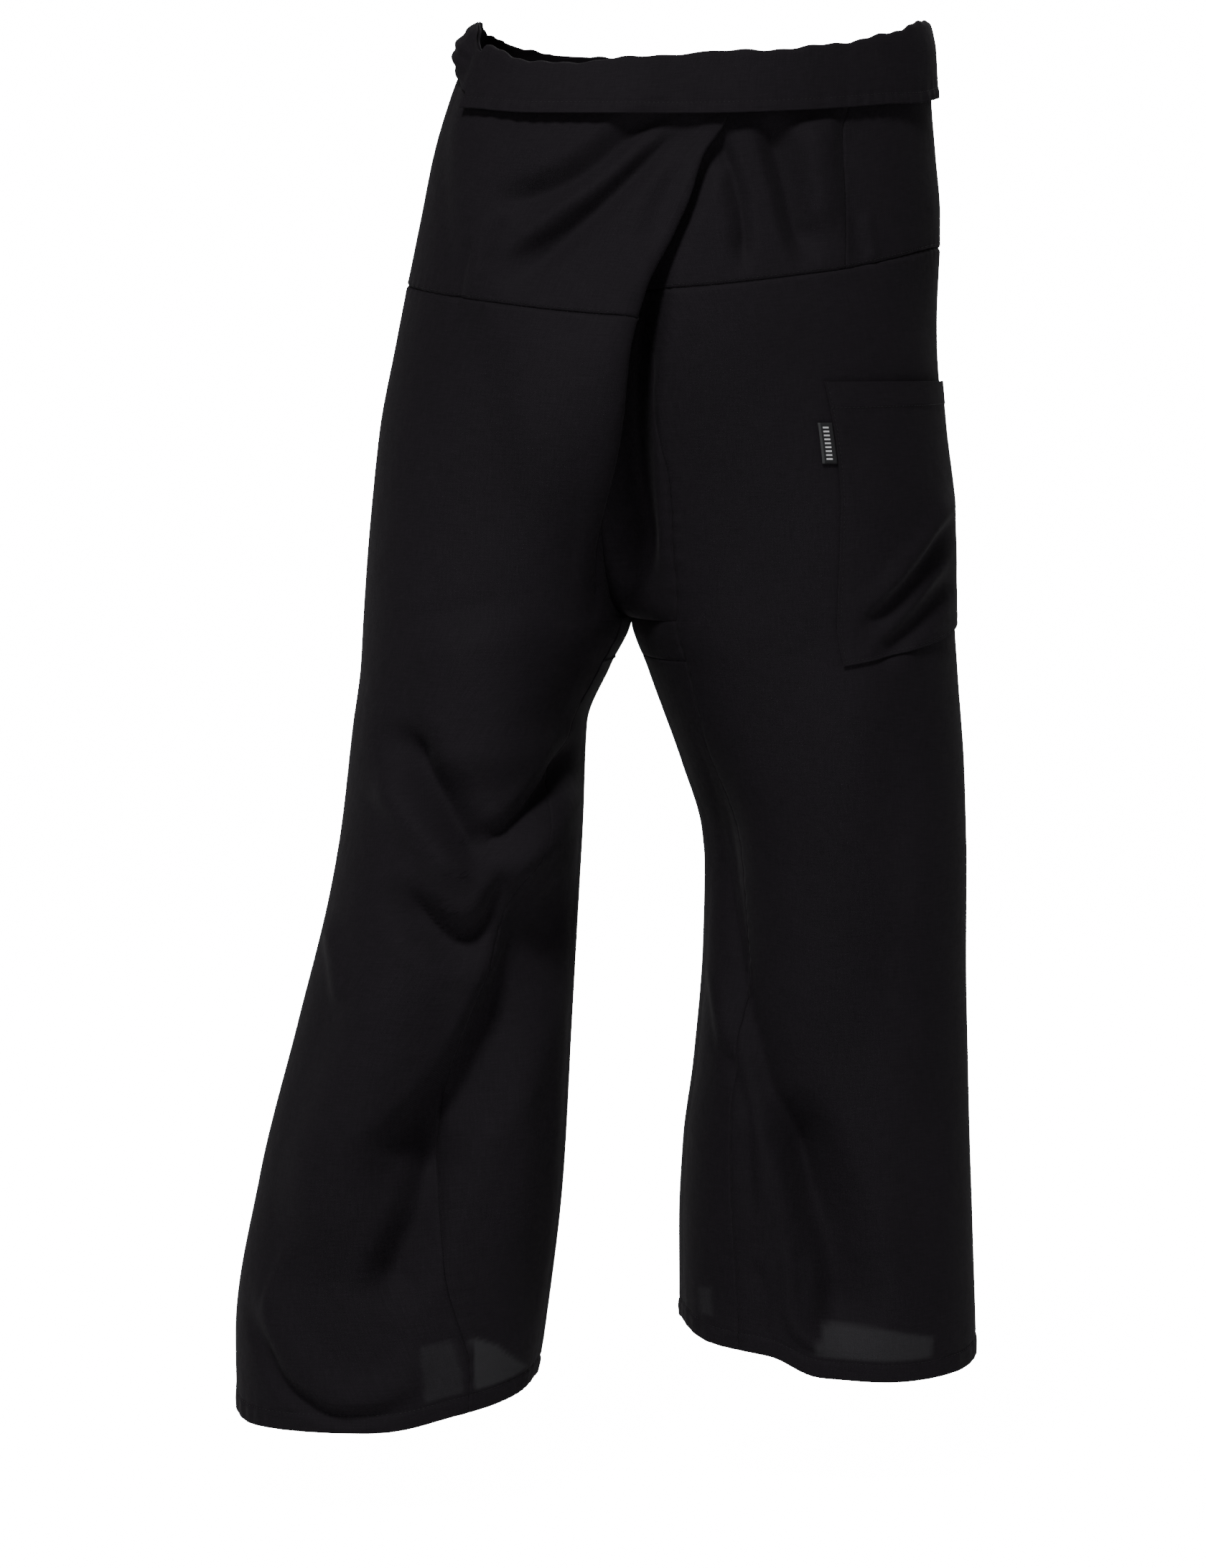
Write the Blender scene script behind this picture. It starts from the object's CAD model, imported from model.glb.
"""Black fisherman trousers as worn: sewn panels of thin plain-weave cloth, wrapped at the front, with
the top turned down over the tie. The cloth is lofted through the same rings as the solids, on a finer
grid, with the folds, seams, hems and stitching on it."""

import math
from collections import namedtuple

import bmesh
import bpy
import numpy as np
from mathutils import Matrix, Vector


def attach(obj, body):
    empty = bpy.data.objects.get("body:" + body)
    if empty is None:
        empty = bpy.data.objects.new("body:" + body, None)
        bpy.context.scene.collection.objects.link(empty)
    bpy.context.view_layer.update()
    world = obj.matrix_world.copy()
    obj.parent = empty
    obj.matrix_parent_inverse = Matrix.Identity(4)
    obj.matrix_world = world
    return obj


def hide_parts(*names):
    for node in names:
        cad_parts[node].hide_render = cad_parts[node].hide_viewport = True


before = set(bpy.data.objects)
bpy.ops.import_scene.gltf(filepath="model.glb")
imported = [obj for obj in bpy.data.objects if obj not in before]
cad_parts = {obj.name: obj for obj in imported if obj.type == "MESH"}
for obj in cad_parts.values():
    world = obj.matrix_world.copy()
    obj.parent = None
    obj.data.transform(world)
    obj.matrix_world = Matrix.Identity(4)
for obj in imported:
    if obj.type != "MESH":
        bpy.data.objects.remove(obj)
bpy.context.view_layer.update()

# Driving sizes in metres and degrees
WALL = 0.0009
LAYER = 0.0018
FOLD_REACH = 0.13
OVAL = 0.86
BACK_ANGLE = 165.0
CROTCH = (-0.047, 0.0, -0.394)
CROSS_SEAM = 2.055
LEGS_APART_Z = -0.45
RIGHT_LEG_MIDDLE, LEFT_LEG_MIDDLE = (-0.19, -0.07), (0.09, 0.0)
TIE_WIDTH = 0.034
TIES_CROSS = (-34.0, 20.0)
ARCH_HEIGHT = 0.004
TURNED_END = 0.78
POCKET_TOP_Z = -0.229
POCKET_DEPTH = 0.195
POCKET_HEM = 0.018
LABEL_WIDTH, LABEL_LENGTH = 0.0095, 0.028
LABEL_TOP_Z = -0.257
CLOTH_PER_HALF = 0.63
SEAM_TUCK = 0.0009
MERGE_WITHIN = 0.00003
LEG_HEM = 0.013
TURNED_HEM = 0.0074
STITCH_PITCH, STITCH_LENGTH, THREAD = 0.0032, 0.0024, 0.00042
SEAM_GROOVE, SEAM_GROOVE_WIDTH = 0.0005, 0.0014
HEM_STEP, HEM_STEP_WIDTH = 0.0005, 0.0016
HEM_GROOVE, HEM_GROOVE_WIDTH = 0.0006, 0.0013
STITCH_LINE, YOKE_STITCHES_ABOVE = 0.0010, 0.0022
PUCKER_REACH = 0.007
POCKET_WIDTH = 0.17

# Where along a half its cloth bends: 0 is the inner fold and 1 the centre back
INNER_BEND = 0.02
HAIRPIN_START, HAIRPIN_END = 0.24, 0.30

# Where along a leg the rows draw close together, above the hem
FINE_ROWS = 2.962


Trunk = namedtuple("Trunk", "z right left front back")
TRUNK = [
    Trunk(0.035, -0.151, 0.157, -0.104, 0.110),
    Trunk(0.000, -0.1615, 0.1620, -0.109, 0.115),
    Trunk(-0.030, -0.1730, 0.1625, -0.115, 0.120),
    Trunk(-0.070, -0.1850, 0.1655, -0.123, 0.127),
    Trunk(-0.114, -0.1940, 0.1690, -0.130, 0.134),
    Trunk(-0.158, -0.2030, 0.1685, -0.137, 0.140),
    Trunk(-0.208, -0.2130, 0.1700, -0.142, 0.142),
    Trunk(-0.264, -0.2230, 0.1750, -0.144, 0.139),
    Trunk(-0.320, -0.2285, 0.1795, -0.144, 0.134),
    Trunk(-0.394, -0.2356, 0.180, -0.142, 0.126),
]

Leg = namedtuple("Leg", "z outer inner front back")
RIGHT_LEG = [
    Leg(-0.150, -0.204, -0.047, -0.140, 0.120),
    Leg(-0.260, -0.224, -0.047, -0.148, 0.120),
    Leg(-0.394, -0.2344, -0.047, -0.150, 0.108),
    Leg(-0.429, -0.2362, -0.062, -0.156, 0.100),
    Leg(-0.469, -0.2413, -0.0785, -0.166, 0.090),
    Leg(-0.536, -0.2485, -0.0812, -0.184, 0.070),
    Leg(-0.584, -0.2566, -0.0839, -0.190, 0.052),
    Leg(-0.671, -0.2780, -0.0888, -0.186, 0.022),
    Leg(-0.778, -0.3047, -0.0947, -0.184, 0.002),
    Leg(-0.887, -0.3216, -0.1077, -0.188, -0.006),
    Leg(-0.940, -0.3210, -0.1160, -0.190, -0.008),
]
LEFT_LEG = [
    Leg(-0.150, 0.1667, -0.047, -0.130, 0.122),
    Leg(-0.260, 0.1750, -0.047, -0.132, 0.128),
    Leg(-0.320, 0.1800, -0.047, -0.130, 0.128),
    Leg(-0.394, 0.1800, -0.047, -0.126, 0.128),
    Leg(-0.431, 0.1820, -0.035, -0.124, 0.122),
    Leg(-0.497, 0.1867, -0.0111, -0.118, 0.108),
    Leg(-0.544, 0.1883, 0.0030, -0.112, 0.102),
    Leg(-0.569, 0.1889, 0.0050, -0.109, 0.100),
    Leg(-0.625, 0.1889, 0.0039, -0.104, 0.098),
    Leg(-0.708, 0.1906, -0.0028, -0.098, 0.096),
    Leg(-0.764, 0.1922, -0.0100, -0.096, 0.096),
    Leg(-0.825, 0.1944, -0.0128, -0.096, 0.096),
    Leg(-0.930, 0.1972, -0.0120, -0.098, 0.096),
]

Wrap = namedtuple("Wrap", "z inner outer pitch roll")
WRAP = [
    Wrap(0.040, -62.0, 9.0, 0.0018, 0.0009),
    Wrap(-0.050, -60.0, 5.6, 0.0018, 0.0009),
    Wrap(-0.075, -55.0, 1.6, 0.0022, 0.0016),
    Wrap(-0.100, -50.0, -0.3, 0.0026, 0.0025),
    Wrap(-0.130, -44.0, -2.7, 0.0033, 0.0040),
    Wrap(-0.165, -37.0, -6.4, 0.0040, 0.0055),
    Wrap(-0.220, -24.0, -10.0, 0.0050, 0.0110),
    Wrap(-0.300, -17.5, -10.5, 0.0068, 0.0180),
    Wrap(-0.394, -15.0, -10.0, 0.0070, 0.0200),
]

Edge = namedtuple("Edge", "angle top hem")
TOP = [
    Edge(-195.0, 0.000, -0.030),
    Edge(-150.0, 0.002, -0.030),
    Edge(-115.0, 0.013, -0.035),
    Edge(-92.0, 0.022, -0.040),
    Edge(-62.0, 0.0030, -0.0405),
    Edge(-33.0, -0.0115, -0.0455),
    Edge(0.0, -0.0050, -0.0465),
    Edge(22.0, -0.0010, -0.0440),
    Edge(35.0, 0.0035, -0.0415),
    Edge(50.0, 0.0100, -0.0385),
    Edge(64.0, 0.0170, -0.0370),
    Edge(77.0, 0.0215, -0.0335),
    Edge(92.0, 0.0160, -0.0300),
    Edge(116.0, 0.0140, -0.0040),
    Edge(165.0, 0.0000, -0.0040),
]

Along = namedtuple("Along", "u z")
YOKE_SEAM = {
    "right": [
        Along(0.00, -0.172), Along(0.24, -0.187), Along(0.30, -0.184), Along(0.45, -0.172),
        Along(0.62, -0.161), Along(0.80, -0.154), Along(1.00, -0.148),
    ],
    "left": [
        Along(0.00, -0.172), Along(0.16, -0.167), Along(0.35, -0.154), Along(0.60, -0.136),
        Along(0.80, -0.140), Along(1.00, -0.148),
    ],
}
HEM = {
    "right": [
        Along(0.00, -0.916), Along(0.15, -0.923), Along(0.30, -0.932), Along(0.38, -0.9435),
        Along(0.50, -0.9430), Along(0.59, -0.933), Along(0.78, -0.911), Along(1.00, -0.916),
    ],
    "left": [
        Along(0.00, -0.890), Along(0.10, -0.900), Along(0.19, -0.906), Along(0.24, -0.920),
        Along(0.31, -0.924), Along(0.40, -0.921), Along(0.50, -0.914), Along(0.75, -0.911),
        Along(0.90, -0.900), Along(1.00, -0.890),
    ],
}

Seam = namedtuple("Seam", "level u")
FRONT_SEAM = {
    "right": [
        Seam(1.0, 0.12), Seam(2.0, 0.12), Seam(2.14, 0.16), Seam(2.28, 0.25), Seam(2.42, 0.32),
        Seam(2.60, 0.35), Seam(2.80, 0.335), Seam(3.0, 0.29),
    ],
    "left": [
        Seam(1.0, 0.155), Seam(1.15, 0.137), Seam(1.4, 0.110), Seam(1.73, 0.111), Seam(2.03, 0.124),
        Seam(2.12, 0.114), Seam(2.2, 0.098), Seam(2.5, 0.115), Seam(3.0, 0.15),
    ],
}
BACK_SEAM = {
    "right": [Seam(1.0, 0.88), Seam(2.0, 0.88), Seam(3.0, 0.86)],
    "left": [Seam(1.0, 0.88), Seam(2.0, 0.88), Seam(3.0, 0.86)],
}
YOKE_CLOSING = [Seam(0.0, 0.464), Seam(1.0, 0.376)]
POCKET_FRONT = [Seam(1.3, 0.2845), Seam(2.05, 0.278)]
POCKET_BACK = [Seam(1.3, 0.550), Seam(2.05, 0.545)]

# Folds on the front: path as x and z, width to the left and right of the way it runs, height (a
# trough is negative), how sharp its line is, and the half of the cloth it is on
Fold = namedtuple("Fold", "path left right height sharp half", defaults=[""])
KNEE_FOLDS = [
    Fold([(-0.161, -0.380), (-0.149, -0.4445), (-0.146, -0.512)], 0.060, 0.060, 0.0130, 0),
    Fold([(-0.2130, -0.4560), (-0.1926, -0.4970), (-0.1765, -0.5191), (-0.1584, -0.5412),
          (-0.1424, -0.5532), (-0.1270, -0.5600)], 0.030, 0.020, -0.0210, 0.4),
    Fold([(-0.2200, -0.4850), (-0.1960, -0.5210), (-0.1740, -0.5480), (-0.1560, -0.5740)],
         0.016, 0.024, 0.0090, 0),
    Fold([(-0.2100, -0.5600), (-0.2026, -0.5753), (-0.1866, -0.5954), (-0.1705, -0.6054),
          (-0.1544, -0.6075), (-0.1404, -0.5954), (-0.1303, -0.5753), (-0.1240, -0.5450)],
         0.018, 0.030, -0.0170, 0.4),
    Fold([(-0.1500, -0.5520), (-0.1303, -0.5371), (-0.1102, -0.5191), (-0.0941, -0.4990),
          (-0.0829, -0.4700)], 0.020, 0.022, -0.0145, 0.7),
    Fold([(-0.1300, -0.5800), (-0.1120, -0.5450), (-0.0960, -0.5200), (-0.0830, -0.4960)],
         0.012, 0.020, 0.0040, 0),
]
SHIN_FOLDS = [
    Fold([(-0.0960, -0.545), (-0.1050, -0.5900), (-0.1180, -0.6250), (-0.1360, -0.6600),
          (-0.1560, -0.6990), (-0.1820, -0.7330), (-0.2150, -0.7600), (-0.2450, -0.7720)],
         0.042, 0.028, -0.0240, 0.1),
    Fold([(-0.2050, -0.600), (-0.2136, -0.6678), (-0.2313, -0.7207), (-0.2489, -0.7736),
          (-0.2518, -0.850)], 0.045, 0.045, 0.0150, 0),
    Fold([(-0.1680, -0.730), (-0.1820, -0.7700), (-0.1980, -0.8100), (-0.2260, -0.8640)],
         0.034, 0.024, -0.0175, 0.1),
    Fold([(-0.2990, -0.8220), (-0.2912, -0.8735), (-0.2695, -0.9058), (-0.2371, -0.9264),
          (-0.2078, -0.9175), (-0.1931, -0.8911), (-0.1880, -0.8680)], 0.024, 0.018, 0.0050, 0),
    Fold([(-0.3090, -0.8600), (-0.2900, -0.9117), (-0.2518, -0.9334), (-0.2136, -0.9293),
          (-0.1900, -0.9130)], 0.010, 0.010, -0.0050, 0),
    Fold([(-0.2770, -0.8130), (-0.2900, -0.8441), (-0.2950, -0.8720)], 0.008, 0.008, 0.0030, 0),
    Fold([(-0.2560, -0.5940), (-0.2477, -0.6267), (-0.2450, -0.6560)], 0.010, 0.010, 0.0035, 0),
    Fold([(-0.1180, -0.640), (-0.1230, -0.7200), (-0.1250, -0.8000), (-0.1330, -0.8600)],
         0.020, 0.030, 0.0050, 0),
]
LEFT_LEG_FOLDS = [
    Fold([(-0.0090, -0.4480), (0.0039, -0.5054), (0.0160, -0.5985), (0.0282, -0.6714),
          (0.0423, -0.7200), (0.0586, -0.7605), (0.0687, -0.8010), (0.0727, -0.8294),
          (0.0690, -0.8600), (0.0700, -0.8900)], 0.050, 0.017, -0.0160, 1),
    Fold([(0.0500, -0.7150), (0.0737, -0.7767), (0.0868, -0.8091), (0.0949, -0.8375),
          (0.0950, -0.8700), (0.0920, -0.9100)], 0.042, 0.022, -0.0190, 0),
    Fold([(0.0600, -0.8200), (0.0640, -0.8537), (0.0620, -0.8739), (0.0700, -0.8920),
          (0.0869, -0.9000), (0.1050, -0.9020)], 0.009, 0.009, 0.0055, 0.3),
    Fold([(0.0110, -0.6700), (0.0239, -0.7119), (0.0337, -0.7378), (0.0337, -0.7810),
          (0.0380, -0.8220)], 0.009, 0.009, -0.0045, 0.8),
    Fold([(0.0080, -0.6300), (0.0150, -0.6700), (0.0180, -0.7050)], 0.007, 0.007, 0.0025, 0),
    Fold([(0.0360, -0.8350), (0.0480, -0.8700), (0.0440, -0.9000)], 0.008, 0.010, -0.0030, 0.5),
    Fold([(0.1050, -0.4000), (0.1016, -0.5276), (0.0970, -0.6140), (0.0940, -0.7200)],
         0.040, 0.060, 0.0060, 0),
    Fold([(0.1290, -0.4300), (0.1235, -0.5276), (0.1189, -0.6140), (0.1160, -0.7200)],
         0.040, 0.034, -0.0030, 0),
    Fold([(0.1600, -0.7200), (0.1560, -0.8000), (0.1500, -0.8700)], 0.020, 0.030, -0.0030, 0),
    Fold([(0.0200, -0.0400), (0.0040, -0.0780), (-0.0140, -0.1100), (-0.0300, -0.1450),
          (-0.0430, -0.1750), (-0.0470, -0.2150)], 0.018, 0.012, -0.0070, 0, "left"),
    Fold([(-0.0360, -0.130), (-0.0442, -0.165), (-0.0490, -0.2012), (-0.0535, -0.2376),
          (-0.0550, -0.2830), (-0.0530, -0.3285), (-0.0480, -0.3930)], 0.028, 0.014, -0.0320, 0, "left"),
]
POCKET_FOLDS = [
    Fold([(0.1060, -0.4050), (0.1369, -0.3740), (0.1600, -0.3460), (0.1780, -0.3180)],
         0.010, 0.014, -0.0060, 0),
    Fold([(0.1160, -0.4250), (0.1450, -0.4000), (0.1700, -0.3720), (0.1820, -0.3560)],
         0.012, 0.012, -0.0060, 0),
    Fold([(0.1100, -0.3900), (0.1400, -0.3600), (0.1640, -0.3280), (0.1780, -0.3000)],
         0.016, 0.010, 0.0040, 0),
]
YOKE_FOLDS = [
    Fold([(-0.0100, -0.038), (-0.0519, -0.0640), (-0.0769, -0.0858), (-0.1042, -0.1000),
          (-0.1500, -0.1120)], 0.014, 0.018, -0.0105, 0.4),
    Fold([(-0.0010, -0.044), (-0.0360, -0.0758), (-0.0633, -0.1031), (-0.0883, -0.1271),
          (-0.1133, -0.1476), (-0.1400, -0.1720)], 0.016, 0.020, -0.0120, 0.4),
    Fold([(-0.0140, -0.040), (-0.0500, -0.0780), (-0.0815, -0.1056), (-0.1179, -0.1284),
          (-0.1497, -0.1466)], 0.012, 0.012, 0.0055, 0),
    Fold([(0.0040, -0.046), (-0.0153, -0.0829), (-0.0290, -0.1147), (-0.0403, -0.1443)],
         0.010, 0.014, -0.0035, 0, "right"),
    Fold([(-0.1340, -0.1150), (-0.1452, -0.1329), (-0.1540, -0.1560)], 0.007, 0.007, -0.0030, 0.8),
    Fold([(-0.1560, -0.1280), (-0.1640, -0.1500), (-0.1680, -0.1850)], 0.007, 0.007, -0.0030, 0.8),
    Fold([(0.0100, -0.052), (0.0260, -0.1000), (0.0310, -0.1260), (0.0280, -0.1600)],
         0.010, 0.015, -0.0080, 0.7),
    Fold([(0.0440, -0.044), (0.0580, -0.0880), (0.0660, -0.1250), (0.0790, -0.1530)],
         0.020, 0.016, -0.0105, 0.2),
    Fold([(0.0790, -0.044), (0.0800, -0.0850), (0.0830, -0.1300)], 0.018, 0.016, 0.0045, 0),
    Fold([(0.0960, -0.030), (0.0990, -0.0700), (0.1040, -0.1150), (0.1130, -0.1700)],
         0.030, 0.010, -0.0035, 0.5),
    Fold([(0.1130, -0.1130), (0.1205, -0.1500)], 0.006, 0.006, 0.0025, 0),
]
# Places above the hems where light comes through: how strongly, and corners x and z, clockwise
SHEER_EDGE = 0.0038
SEAM_ALLOWANCE_SEEN = 0.004
SHEER_PATCHES = {
    "right": [
        (0.45, [(-0.1915, -0.8845), (-0.1660, -0.8800), (-0.1560, -0.9250), (-0.1880, -0.9250)]),
        (1.2, [(-0.1648, -0.8760), (-0.1400, -0.8861), (-0.1200, -0.9050), (-0.1500, -0.9300)]),
    ],
    "left": [
        (0.8, [(0.0889, -0.8790), (0.1234, -0.8861), (0.1640, -0.8905), (0.1600, -0.9200),
               (0.0727, -0.9200)]),
        (0.5, [(0.0002, -0.8630), (0.0090, -0.8620), (0.0099, -0.8812), (0.0020, -0.8812)]),
    ],
}
FOLDS = KNEE_FOLDS + SHIN_FOLDS + LEFT_LEG_FOLDS + POCKET_FOLDS + YOKE_FOLDS


# Lines through the tables

def smooth_line(rows, key, column):
    """A smooth line through one column of a table, by its key column, for arrays of places."""
    rows = sorted(rows, key=lambda row: getattr(row, key))
    keys = np.array([getattr(row, key) for row in rows])
    values = np.array([getattr(row, column) for row in rows])
    steps = np.diff(keys)
    rates = np.diff(values) / steps
    slopes = np.zeros(len(keys))
    same_way = rates[:-1] * rates[1:] > 0
    sums = np.where(same_way, rates[:-1] + rates[1:], 1)
    slopes[1:-1] = np.where(same_way, 2 * rates[:-1] * rates[1:] / sums, 0)
    if len(keys) == 2:
        slopes[:] = rates[0]

    def line(at):
        at = np.clip(at, keys[0], keys[-1])
        i = np.clip(np.searchsorted(keys, at, side="right") - 1, 0, len(keys) - 2)
        t = (at - keys[i]) / steps[i]
        return (
            values[i] * (2 * t**3 - 3 * t**2 + 1)
            + values[i + 1] * (3 * t**2 - 2 * t**3)
            + steps[i] * (slopes[i] * (t**3 - 2 * t**2 + t) + slopes[i + 1] * (t**3 - t**2))
        )

    return line


def lines_of(rows, key):
    return [smooth_line(rows, key, name) for name in rows[0]._fields if name != key]


TRUNK_LINES = lines_of(TRUNK, "z")
LEG_LINES = {"right": lines_of(RIGHT_LEG, "z"), "left": lines_of(LEFT_LEG, "z")}
WRAP_LINES = lines_of(WRAP, "z")
TOP_LINE, TURNED_HEM_LINE = lines_of(TOP, "angle")
YOKE_SEAM_LINE = {side: smooth_line(YOKE_SEAM[side], "u", "z") for side in YOKE_SEAM}
HEM_LINE = {side: smooth_line(HEM[side], "u", "z") for side in HEM}
FRONT_SEAM_LINE = {side: smooth_line(FRONT_SEAM[side], "level", "u") for side in FRONT_SEAM}
BACK_SEAM_LINE = {side: smooth_line(BACK_SEAM[side], "level", "u") for side in BACK_SEAM}
CLOSING_LINE = smooth_line(YOKE_CLOSING, "level", "u")
POCKET_FRONT_LINE = smooth_line(POCKET_FRONT, "level", "u")
POCKET_BACK_LINE = smooth_line(POCKET_BACK, "level", "u")


def eased(share):
    share = np.clip(share, 0, 1)
    return share * share * (3 - 2 * share)


def between(low, high, share):
    return low + (high - low) * share


# The body of the cloth

def oval(turn):
    """Sine and cosine of an angle in degrees, squared off a little."""
    both = np.sin(np.radians(turn)), np.cos(np.radians(turn))
    return [np.sign(part) * np.abs(part) ** OVAL for part in both]


def trunk_point(angle, lift, z):
    """Points of the trunk's rings and the way outwards from them."""
    right, left, front, back = (line(z) for line in TRUNK_LINES)
    across, ahead = oval(angle)
    half_width, half_depth = (left - right) / 2, (back - front) / 2
    out_x, out_y = across / half_width, -ahead / half_depth
    size = np.hypot(out_x, out_y)
    out_x, out_y = out_x / size, out_y / size
    x = (left + right) / 2 + half_width * across + lift * out_x
    y = (front + back) / 2 - half_depth * ahead + lift * out_y
    outward = np.stack([out_x, out_y, np.zeros_like(out_x)], -1)
    return np.stack([x, y, z + np.zeros_like(x)], -1), outward


def leg_point(side, turn, z, level):
    """Points of a leg's rings and the way outwards: 0 is the inner side, 90 the front."""
    outer, inner, front, back = (line(z) for line in LEG_LINES[side])
    ahead, inward = oval(turn)
    middle = (front + back) / 2
    meeting = between(CROTCH[1], middle, eased((level - 2) * 3)) - middle
    apart = LAYER * np.minimum(1.0, 6 * np.abs(ahead)) * (1 + inward) / 2
    x = (inner + outer) / 2 + (inner - outer) / 2 * inward + np.sign(outer) * apart
    y = middle - (back - front) / 2 * ahead + meeting * ((1 + inward) / 2) ** 2
    out_x, out_y = inward / ((inner - outer) / 2), -ahead / ((back - front) / 2)
    size = np.hypot(out_x, out_y)
    outward = np.stack([out_x / size, out_y / size, np.zeros_like(out_x)], -1)
    return np.stack([x, y, z + np.zeros_like(x)], -1), outward


def wrapped(side, u, z):
    """Angle and lift of the cloth on the trunk, at u along the half from the inner fold to the back."""
    inner, outer, pitch, roll = (line(z) for line in WRAP_LINES)
    bend = np.degrees(pitch / 2 / FOLD_REACH)
    turn = math.pi / 2 * np.minimum(1.0, u / INNER_BEND)
    sign = 1 if side == "right" else -1
    angle = inner + bend * (1 - np.cos(turn))
    lift = pitch / 2 * (1 + sign * np.sin(turn))
    past = u >= INNER_BEND
    if side == "left":
        share = (u - INNER_BEND) / (1 - INNER_BEND)
        return np.where(past, between(inner + bend, BACK_ANGLE, share), angle), np.where(past, 0, lift)
    share = (u - INNER_BEND) / (HAIRPIN_START - INNER_BEND)
    angle = np.where(past, between(inner + bend, outer, share), angle)
    lift = np.where(past, pitch, lift)
    turn = math.pi * np.clip((u - HAIRPIN_START) / (HAIRPIN_END - HAIRPIN_START), 0, 1)
    past = u >= HAIRPIN_START
    angle = np.where(past, outer + np.degrees(roll / FOLD_REACH) * np.sin(turn), angle)
    lift = np.where(past, pitch + roll * (1 - np.cos(turn)), lift)
    past = u >= HAIRPIN_END
    seen = between(outer, BACK_ANGLE - 360, (u - HAIRPIN_END) / (1 - HAIRPIN_END))
    angle = np.where(past, seen, angle)
    return angle, np.where(past, outermost(angle, z), lift)


def outermost(angle, z):
    """Lift of the cloth seen from outside."""
    inner, outer, pitch, roll = (line(z) for line in WRAP_LINES)
    lift = between(pitch + 2 * roll, pitch + 0.0018, eased((outer - angle) / 30))
    beyond_inner = eased((inner - 2 - angle) / 14)
    beyond_outer = eased((angle - outer - 1) / 7)
    return lift * (1 - beyond_inner) * (1 - beyond_outer)


def leg_turn(side, u):
    if side == "left":
        return 360 * u
    on_bend = between(45, 60, (u - HAIRPIN_START) / (HAIRPIN_END - HAIRPIN_START))
    beyond = between(60, 360, (u - HAIRPIN_END) / (1 - HAIRPIN_END))
    return np.where(u < HAIRPIN_START, 45 * u / HAIRPIN_START, np.where(u < HAIRPIN_END, on_bend, beyond))


def cut_edge_z(side, angle):
    ripple = 0.0008 * np.sin(0.31 * angle) + 0.0005 * np.sin(0.83 * angle + 1)
    if side == "left":
        return TOP_LINE(angle) - ARCH_HEIGHT + ripple
    return TOP_LINE(angle) + ripple - ARCH_HEIGHT * eased((angle + 80) / 16)


def height(side, u, level):
    """z of the cloth: level 0 is its top edge, 1 the yoke seam, 2 the crotch and 3 the hem."""
    seam = YOKE_SEAM_LINE[side](u)
    angle, _ = wrapped(side, u, 0.0 * u)
    on_yoke = between(cut_edge_z(side, angle), seam, level)
    on_hips = between(seam, CROTCH[2], level - 1)
    on_leg = between(CROTCH[2], HEM_LINE[side](u), level - 2)
    return np.where(level <= 1, on_yoke, np.where(level <= 2, on_hips, on_leg))


def level_at(side, u, z):
    seam = YOKE_SEAM_LINE[side](u)
    on_hips = 1 + (z - seam) / (CROTCH[2] - seam)
    on_leg = 2 + (z - CROTCH[2]) / (HEM_LINE[side](u) - CROTCH[2])
    return np.where(z > CROTCH[2], on_hips, on_leg)


def cloth(side, u, level, lift=0.0):
    """Points of one half's cloth, with its folds, lifted off it by lift."""
    u, level = np.broadcast_arrays(np.asarray(u, float), np.asarray(level, float))
    z = height(side, u, level)
    angle, off = wrapped(side, u, z)
    on_trunk, trunk_out = trunk_point(angle, off, z)
    on_leg, leg_out = leg_point(side, leg_turn(side, u), z, level)
    down = np.clip(level - 1, 0, 1)
    if side == "left":
        near_middle = eased(1 - u / 0.20)
    else:
        near_middle = eased(1 - u / HAIRPIN_START) ** 0.45
    near_middle = np.where(u > 0.5, eased(1 - (1 - u) / 0.30), near_middle)
    crotch_curve = 1 - np.sqrt(np.maximum(0, 1 - down * down))
    blend = between(eased(down), crotch_curve, near_middle)[..., None]
    points = on_trunk + (on_leg - on_trunk) * blend
    outward = trunk_out + (leg_out - trunk_out) * blend
    outward /= np.linalg.norm(outward, axis=-1, keepdims=True)
    moved = lift + folds_at(points, outward, side) + sewing(side, u, level, z)
    return points + outward * moved[..., None]


def pucker(along, away, pitch, size):
    """Small waves of cloth drawn up by a line of stitches."""
    wave = np.sin(2 * math.pi * along / pitch + 2.3 * np.sin(along * 61))
    wave *= 0.6 + 0.4 * np.sin(along * 23)
    return size * wave * np.exp(-np.abs(away) / PUCKER_REACH)


def groove(away, depth, width):
    """A soft groove beside a line of stitches."""
    return -depth * np.exp(-((away / width) ** 2))


def step(past, height, width):
    """The step up to cloth that is folded double."""
    return height * (1 - eased(past / width))


def sewing(side, u, level, z):
    """How far seams and hems move the cloth outwards."""
    along = u * CLOTH_PER_HALF
    below_yoke = z - YOKE_SEAM_LINE[side](u)
    moved = groove(below_yoke, SEAM_GROOVE, SEAM_GROOVE_WIDTH)
    moved += pucker(along, below_yoke, 0.010, 0.00045)
    above_hem = np.where(level > 2, z - HEM_LINE[side](u), 1.0)
    moved += step(above_hem - LEG_HEM + HEM_STEP_WIDTH, HEM_STEP, HEM_STEP_WIDTH)
    moved += groove(above_hem - LEG_HEM + STITCH_LINE, HEM_GROOVE, HEM_GROOVE_WIDTH)
    moved += pucker(along, above_hem - LEG_HEM / 2, 0.014, 0.0006)
    from_seam = (u - FRONT_SEAM_LINE[side](level)) * CLOTH_PER_HALF
    on_legs = eased((level - 1) * 20)
    return moved + on_legs * pucker(-z, from_seam, 0.013, 0.0005)


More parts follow.
